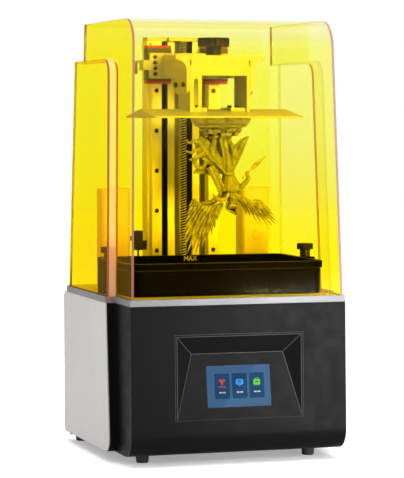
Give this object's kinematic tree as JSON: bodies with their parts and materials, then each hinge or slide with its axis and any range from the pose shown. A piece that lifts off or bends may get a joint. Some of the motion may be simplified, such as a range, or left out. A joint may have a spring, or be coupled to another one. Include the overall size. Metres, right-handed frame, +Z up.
{
  "type": "resin printer",
  "caption": "Desktop resin 3-D printer: lift-off amber cover, vat over a masked light engine, and a screw-driven lift that carries the build plate.",
  "frame": {"origin": "on the standing surface under the middle of the printer's bounding box", "axes": "+Z up, +Y from the front to the back, +X to the right seen from the front"},
  "size_m": [0.346, 0.3184, 0.626],
  "materials": {
    "charcoal_plastic": "satin",
    "black_plastic": "matt",
    "silver_panel": "satin",
    "silver_trim": "satin",
    "steel_sheet": "satin",
    "screen_glass": "gloss",
    "bare_steel": "satin",
    "black_metal": "satin",
    "anodised": "satin",
    "brass": "satin",
    "board_green": "satin",
    "rubber": "matt",
    "amber_acrylic": "gloss",
    "film_clear": "gloss",
    "cured_resin": "satin",
    "white_plastic": "satin",
    "seal_red": "satin",
    "masking_glass": "gloss"
  },
  "bodies": {
    "base": {"front_panel": "charcoal_plastic", "screen_housing": "charcoal_plastic", "touch_screen": "screen_glass", "display_module": "bare_steel", "side_frames": "charcoal_plastic", "side_panel_right": "silver_panel", "side_panel_left": "silver_panel", "usb_port": "bare_steel", "base_tray": "steel_sheet", "rear_panel": "steel_sheet", "power_inlet": "black_plastic", "rubber_feet": "rubber", "deck_trim": "silver_trim", "deck_plate": "silver_trim", "lcd_panel": "masking_glass", "light_box": "anodised", "led_board": "board_green", "heat_sink": "anodised", "fan_frame": "black_plastic", "power_supply": "bare_steel", "main_board": "board_green", "vat_body": "black_metal", "vat_film": "film_clear", "film_frame": "black_metal", "vat_posts": "black_metal", "tower_extrusion": "anodised", "tower_cap": "anodised", "linear_rails": "bare_steel", "rail_screws": "black_metal", "z_motor": "black_metal", "limit_sensor": "black_plastic", "sensor_cable": "rubber"},
    "cover": {"cover_front_sheet": "amber_acrylic", "cover_back_sheet": "amber_acrylic", "cover_cheeks": "amber_acrylic", "cover_wing_bands": "amber_acrylic", "cover_wing_sheets": "amber_acrylic"},
    "carriage": {"bearing_blocks": "black_metal", "block_seals": "seal_red", "carriage_plate": "anodised", "lead_nut": "brass", "carriage_screws": "black_metal", "trip_flag": "black_metal", "support_arm": "anodised", "plate_yoke": "anodised", "build_plate": "anodised", "printed_model": "cured_resin"},
    "screw": {"lead_screw": "bare_steel", "shaft_coupling": "anodised"},
    "thumb_screw_left": {"thumb_knob_left": "black_plastic"},
    "thumb_screw_right": {"thumb_knob_right": "black_plastic"},
    "plate_clamp": {"clamp_knob": "black_plastic"},
    "fan": {"fan_rotor": "black_plastic"},
    "rocker": {"power_rocker": "black_plastic"},
    "purifier_left": {"purifier_left": "white_plastic"},
    "purifier_right": {"purifier_right": "white_plastic"},
    "purifier_button_left": {"purifier_button_left": "white_plastic"},
    "purifier_button_right": {"purifier_button_right": "white_plastic"}
  },
  "joints": [
    {"name": "cover_lift", "type": "slide", "parent": "base", "child": "cover", "axis": [0, 0, 1], "range_m": [0, 0.4]},
    {"name": "z_lift", "type": "slide", "parent": "base", "child": "carriage", "axis": [0, 0, 1], "range_m": [-0.25, 0.006], "deforming": ["printed_model"]},
    {"name": "screw_spin", "type": "hinge", "parent": "base", "child": "screw", "pos_m": [0, 0.10923, 0.4], "axis": [0, 0, 1], "continuous": true},
    {"name": "clamp_turn", "type": "hinge", "parent": "carriage", "child": "plate_clamp", "pos_m": [0.005, -0.02177, 0.59], "axis": [0, 0, 1], "continuous": true},
    {"name": "thumb_turn_left", "type": "hinge", "parent": "base", "child": "thumb_screw_left", "pos_m": [-0.1505, -0.01277, 0.29], "axis": [0, 0, 1], "continuous": true},
    {"name": "thumb_turn_right", "type": "hinge", "parent": "base", "child": "thumb_screw_right", "pos_m": [0.1505, -0.01277, 0.29], "axis": [0, 0, 1], "continuous": true},
    {"name": "fan_spin", "type": "hinge", "parent": "base", "child": "fan", "pos_m": [0.07, 0.14723, 0.13], "axis": [0, 1, 0], "continuous": true},
    {"name": "rocker_tilt", "type": "hinge", "parent": "base", "child": "rocker", "pos_m": [-0.065, 0.14923, 0.06], "axis": [1, 0, 0], "range_deg": [-7, 7]},
    {"name": "purifier_lift_left", "type": "slide", "parent": "base", "child": "purifier_left", "axis": [0, 0, 1], "range_m": [0, 0.12]},
    {"name": "purifier_lift_right", "type": "slide", "parent": "base", "child": "purifier_right", "axis": [0, 0, 1], "range_m": [0, 0.12]},
    {"name": "button_push_left", "type": "slide", "parent": "purifier_left", "child": "purifier_button_left", "axis": [0, 1, 0], "range_m": [0, 0.0015], "stiffness_N_per_m": 200},
    {"name": "button_push_right", "type": "slide", "parent": "purifier_right", "child": "purifier_button_right", "axis": [0, 1, 0], "range_m": [0, 0.0015], "stiffness_N_per_m": 200}
  ],
  "couplings": [
    {"joint": "screw_spin", "follows": "z_lift", "rad_per_m": -785.4}
  ]
}
